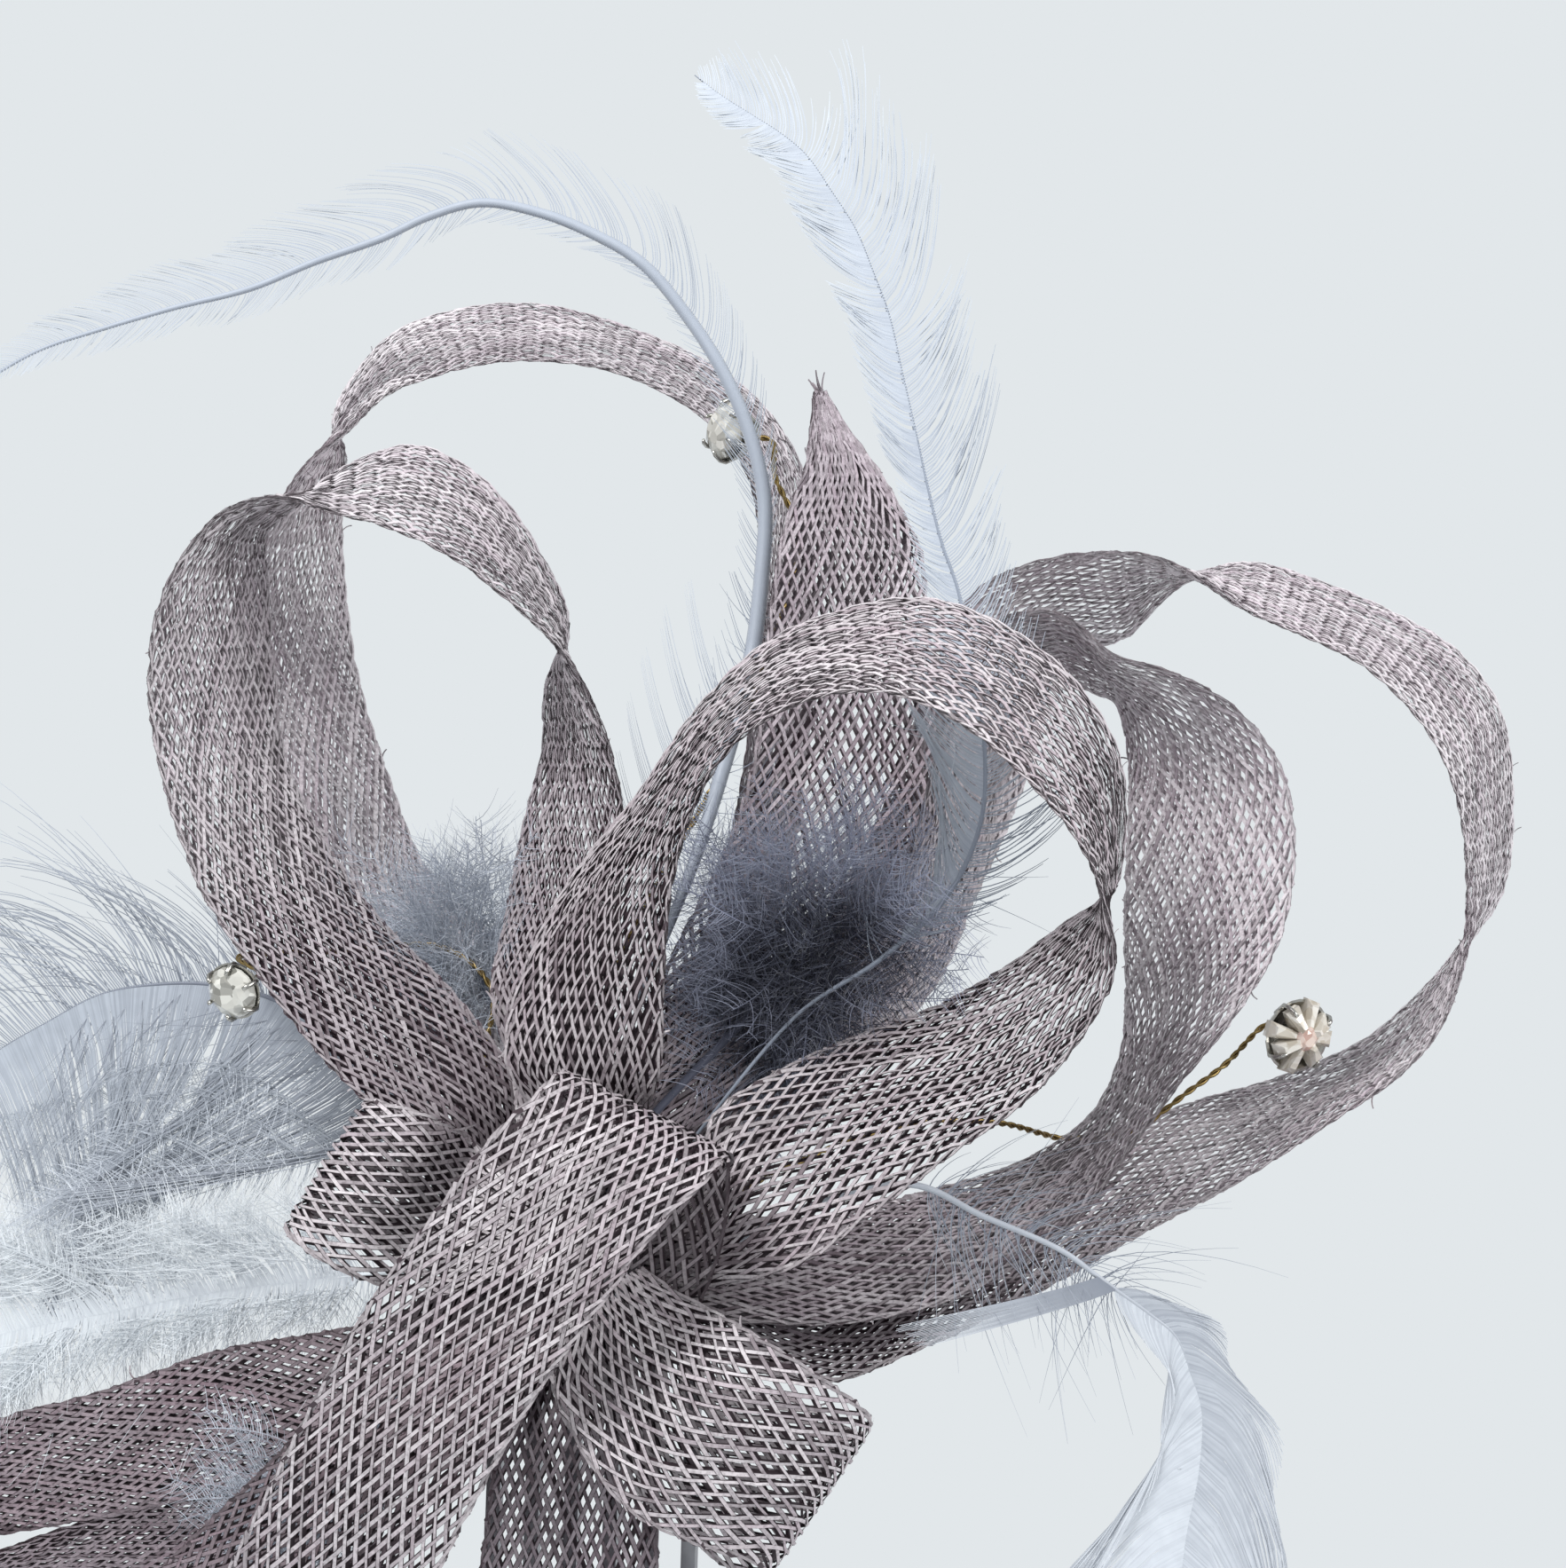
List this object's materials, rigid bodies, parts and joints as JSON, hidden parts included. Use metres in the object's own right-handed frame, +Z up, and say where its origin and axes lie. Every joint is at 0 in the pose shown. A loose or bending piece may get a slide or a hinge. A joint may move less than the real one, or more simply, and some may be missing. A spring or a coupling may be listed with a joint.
{
  "type": "fascinator hat",
  "caption": "Looped and folded strips of woven straw gathered on a short post over a comb, with feathers, dark fluff and stones on wire.",
  "frame": {"origin": "centre of the comb's back face, where the piece sits on the head", "axes": "+Z up as worn, front at -Y, +X to the right of the front view"},
  "size_m": [0.1973, 0.087, 0.1873],
  "materials": {
    "straw_weave": "open woven straw, mauve grey",
    "feather_pale": "pale blue-grey feather",
    "feather_grey": "soft blue-grey feather",
    "fluff_dark": "dark downy fluff",
    "stone_clear": "clear cut stone",
    "setting_silver": "bright silver",
    "wire_brass": "dull gold wire",
    "comb_metal": "satin"
  },
  "bodies": {
    "root": {"loop_back_left": "straw_weave", "loop_left": "straw_weave", "loop_front": "straw_weave", "loop_right": "straw_weave", "loop_outer_right": "straw_weave", "tail_peak": "straw_weave", "knot_fold_front": "straw_weave", "knot_fold_left": "straw_weave", "loop_lower_right": "straw_weave", "loop_side_left": "straw_weave", "under_strip_left": "straw_weave", "under_strip_down": "straw_weave", "head_comb": "comb_metal", "feather_tall_left": "feather_pale", "feather_tall_right": "feather_pale", "feather_left": "feather_grey", "feather_lower_left": "feather_grey", "feather_lower_right": "feather_grey", "fluff_centre": "fluff_dark", "fluff_left": "fluff_dark", "fluff_lower_left": "fluff_dark", "stone_left": "stone_clear", "setting_left": "setting_silver", "wire_left": "wire_brass", "stone_top": "stone_clear", "setting_top": "setting_silver", "wire_top": "wire_brass", "stone_right": "stone_clear", "setting_right": "setting_silver", "wire_right": "wire_brass"}
  },
  "joints": []
}
